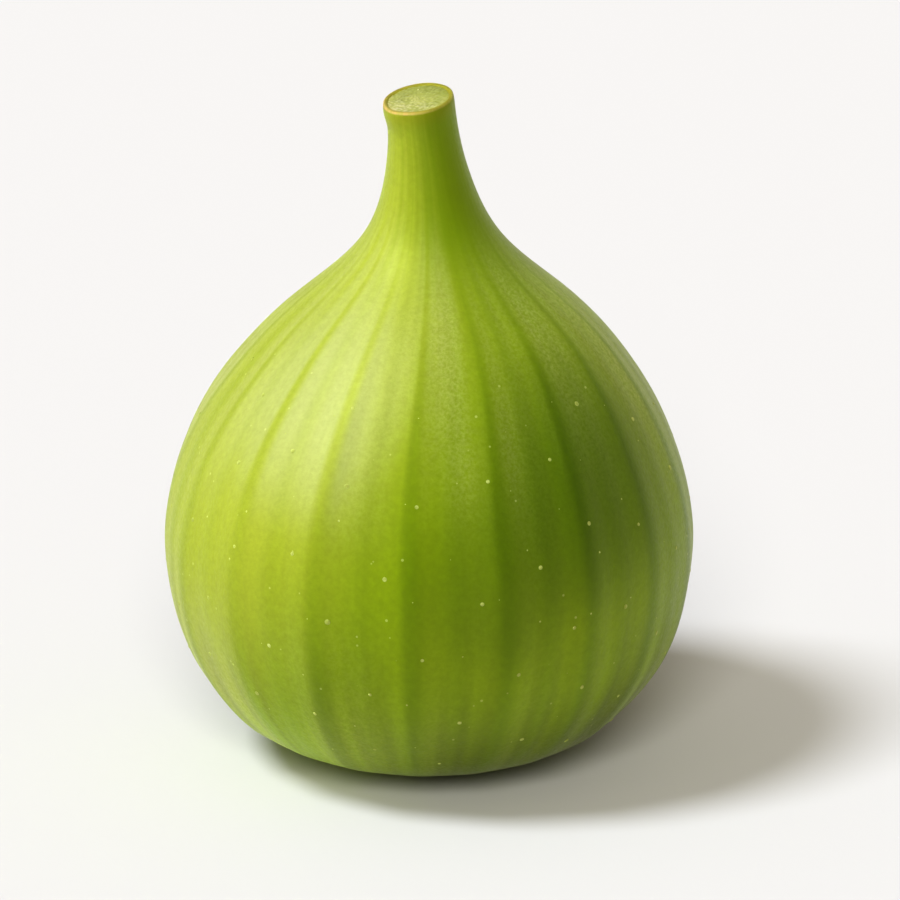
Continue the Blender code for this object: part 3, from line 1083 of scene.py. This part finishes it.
# %% Eye: tree
EYE_KNOBS = {
    "Radius": 3.5 * MM,
    "Scale Length": 2.5 * MM,
    "Height": 1.15 * MM,
    "Tilt": math.radians(9),
}
EYE_RINGS = ((9, 1.0, 0.0), (8, 0.74, 0.35), (6, 0.5, 0.7), (5, 0.3, 1.0))
RING_DROP = 0.35 * MM  # how far the innermost ring lies under the outermost
RING_TURN = 0.9  # turns each ring against the next, so that the scales overlap
SMALLEST_SCALE = 0.55


def eye_tree(knobs):
    """Rings of scales: how many, the radius as a share, and how far down the ring lies as a share."""
    tree, knob = new_tree("fig_eye_tree", knobs)
    joined = add(tree, "GeometryNodeJoinGeometry").node
    for count, reach, down in EYE_RINGS:
        points = add(tree, "GeometryNodePoints", count)
        number = add(tree, "GeometryNodeInputIndex")
        angle = add(tree, MATHS, number, math.tau / count, RING_TURN * reach, **TIMES_PLUS)
        radius = add(tree, MATHS, knob["Radius"], reach, **TIMES)
        x = add(tree, MATHS, add(tree, MATHS, angle, operation="COSINE"), radius, **TIMES)
        y = add(tree, MATHS, add(tree, MATHS, angle, operation="SINE"), radius, **TIMES)
        z = add(tree, MATHS, knob["Height"], -RING_DROP * down, **PLUS)
        placed = add(tree, "GeometryNodeSetPosition", points, None, add(tree, JOIN, x, y, z))
        inward = add(tree, MATHS, angle, math.pi, **PLUS)
        turn = add(tree, JOIN, 0.0, knob["Tilt"], inward)
        size = SMALLEST_SCALE + (1 - SMALLEST_SCALE) * reach
        length = add(tree, MATHS, knob["Scale Length"], size, **TIMES)
        scale = knob["Geometry"]
        copies = add(tree, "GeometryNodeInstanceOnPoints", placed, None, scale, None, None, turn, length)
        tree.links.new(copies, joined.inputs[0])
    return finish_tree(tree, joined.outputs[0], knob["Material"])


# %% [markdown]
# The scales are thin and papery, and have dried to straw and a rusty brown, in blotches a little under
# a millimetre across. They look dry and dull next to the wax.

# %% Eye: scales
STRAW = colour("#a99a48")
RUSTY = colour("#7d4f2a")
SCALE_BLOTCH = 0.9 * MM


def scale_material():
    """Papery dried scales, straw and rust in blotches."""
    material, tree, shader = new_material("dried_eye_scales", 0.55)
    place = add(tree, "ShaderNodeTexCoord", out="Object")
    papery = blotched(tree, place, SCALE_BLOTCH, 3.0, 0.15, STRAW, RUSTY)
    tree.links.new(papery, shader.inputs["Base Color"])
    return material


EYE_KNOBS["Material"] = scale_material()
one_scale = scale_mesh()
eye_scales = run_tree("eye_scales", one_scale, eye_tree(EYE_KNOBS), EYE_KNOBS)
bpy.data.objects.remove(one_scale)
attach(eye_scales, "root")

# %% [markdown]
# ## The studio
#
# The fig stands on a wide sheet of matt pale card, which is only there for the picture.

# %% Floor
CARD_REACH = 3  # metres, far enough to fill any view
CARD_GREY = (0.6, 0.6, 0.6, 1)


def floor():
    """A square sheet of card under the fig."""
    far = CARD_REACH
    mesh = bpy.data.meshes.new("floor")
    mesh.from_pydata([(-far, -far, 0), (far, -far, 0), (far, far, 0), (-far, far, 0)], [], [(0, 1, 2, 3)])
    made = put("floor", mesh)
    material, _, shader = new_material("matt_grey_card", 0.9)
    shader.inputs["Base Color"].default_value = CARD_GREY
    mesh.materials.append(material)
    return made


card = floor()

# %% [markdown]
# In a studio, flags and screens keep each lamp's light where it is wanted. Light linking does that here:
# a light with `falls_on` reaches only the objects in that group, and one with `blocked_by` is shadowed
# only by that group. So the fig's soft light and the card's shadow are each set by themselves.
#
# The key comes from high on the left, a little in front of the fig, and reaches everything. Soft lights
# fill the left side, the top and the back, and one shines up as the card's own light would. Two more
# fall on the card alone, and give it the fig's long soft shadow to the right and the darker one at its
# foot. A sun lamp is used for all of them, because its light is the same wherever the fig is, and its
# spread says how soft its shadow is.

# %% Lights
def light_group(name, objects):
    """A collection that lights can be linked to, of objects that stay in the scene's own."""
    group = bpy.data.collections.new(name)
    for member in objects:
        group.objects.link(member)
    return group


fig_only = light_group("fig_only", [body, lenticels, young_lenticels, stem_flesh, sap_beads, eye_scales])
floor_only = light_group("floor_only", [card])


def sun(name, azimuth, elevation, strength, spread, tint, falls_on=None, blocked_by=None):
    """A sun lamp. Its azimuth counts from the front towards +X, and all angles are in degrees."""
    light = bpy.data.lights.new(name, "SUN")
    light.energy = strength
    light.angle = math.radians(spread)
    light.color = tint
    made = put(name, light)
    a, e = math.radians(azimuth), math.radians(elevation)
    toward = Vector((math.sin(a) * math.cos(e), -math.cos(a) * math.cos(e), math.sin(e)))
    made.rotation_euler = toward.to_track_quat("Z", "Y").to_euler()
    made.light_linking.receiver_collection = falls_on
    made.light_linking.blocker_collection = blocked_by


sun("key", -68, 55, 2.15, 17, (0.80, 0.86, 1.0))
sun("left_soft", -68, 35, 0.90, 35, (0.93, 0.97, 1.0), fig_only)
sun("front_left_soft", -50, 48, 0.60, 70, (1.0, 1.0, 0.95), fig_only)
sun("left_low", -95, 14, 1.10, 70, (1.0, 0.96, 0.92), fig_only)
sun("top", 0, 86, 0.80, 70, (1.0, 0.94, 0.84), fig_only)
sun("floor_bounce", -60, -35, 0.40, 90, (1.0, 0.98, 0.88), fig_only, fig_only)
sun("back_right", 145, -5, 0.85, 80, (1.0, 0.90, 0.76), fig_only, fig_only)
sun("floor_key", -68, 56, 1.19, 17, (1.0, 0.98, 0.95), floor_only)
sun("floor_front", -3, 33, 2.40, 24, (1.0, 0.98, 0.915), floor_only)
print(f"lights: {len(bpy.data.lights)}")

# %% [markdown]
# The room itself gives a dim, warm light from all around, which keeps the shadows from going black.

# %% World
ROOM_LIGHT = (0.41, 0.365, 0.305, 1)

world = bpy.data.worlds.new("studio")
world.use_nodes = True
world.node_tree.nodes["Background"].inputs["Color"].default_value = ROOM_LIGHT
world.node_tree.nodes["Background"].inputs["Strength"].default_value = 1.0
bpy.context.scene.world = world
